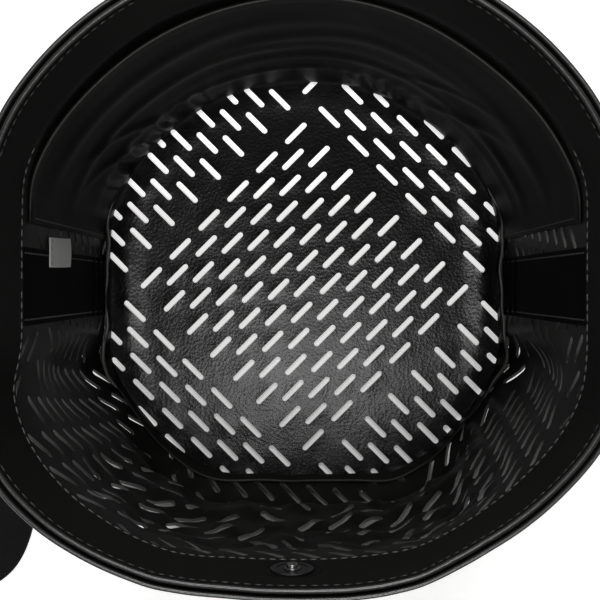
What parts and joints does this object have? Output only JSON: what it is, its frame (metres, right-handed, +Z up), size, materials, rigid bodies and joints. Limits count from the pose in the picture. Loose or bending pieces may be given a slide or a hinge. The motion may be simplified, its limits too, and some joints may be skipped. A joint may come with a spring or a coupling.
{
  "type": "bucket bag",
  "caption": "Open bucket bag of slot-perforated black leather with a flat base, inner facing, slip pocket, magnetic snap, side rings and a webbing shoulder strap that swings.",
  "frame": {"origin": "centre of the base, on the surface that the bag stands on", "axes": "+Z up, +X to the bag's right, the front with the snap's stud faces -Y"},
  "size_m": [0.5093, 0.3834, 0.22],
  "materials": {
    "perforated_leather": "fine grain, satin",
    "smooth_leather": "smooth, satin",
    "pocket_leather": "soft, matte to satin",
    "satin": "satin weave",
    "snap_metal": "dark nickel",
    "ring_metal": "polished dark nickel",
    "webbing": "ribbed, matte"
  },
  "bodies": {
    "bag": {"base_panel": "perforated_leather", "front_wall": "perforated_leather", "back_wall": "perforated_leather", "base_seam_binding": "smooth_leather", "front_facing": "smooth_leather", "back_facing": "smooth_leather", "front_rim_band": "smooth_leather", "back_rim_band": "smooth_leather", "left_inner_strip": "smooth_leather", "right_inner_strip": "smooth_leather", "left_outer_strip": "smooth_leather", "right_outer_strip": "smooth_leather", "slip_pocket_panel": "pocket_leather", "care_label": "satin", "snap_stud": "snap_metal", "snap_stud_plate": "snap_metal", "snap_magnet": "snap_metal", "snap_magnet_plate": "snap_metal", "left_ring_tab": "smooth_leather", "right_ring_tab": "smooth_leather"},
    "strap": {"left_ring": "ring_metal", "right_ring": "ring_metal", "left_strap_end": "smooth_leather", "right_strap_end": "smooth_leather", "strap_webbing": "webbing"}
  },
  "joints": [
    {"name": "strap_swing", "type": "hinge", "parent": "bag", "child": "strap", "pos_m": [0, 0, 0.17], "axis": [-1, 0, 0], "range_deg": [0, 130]}
  ]
}
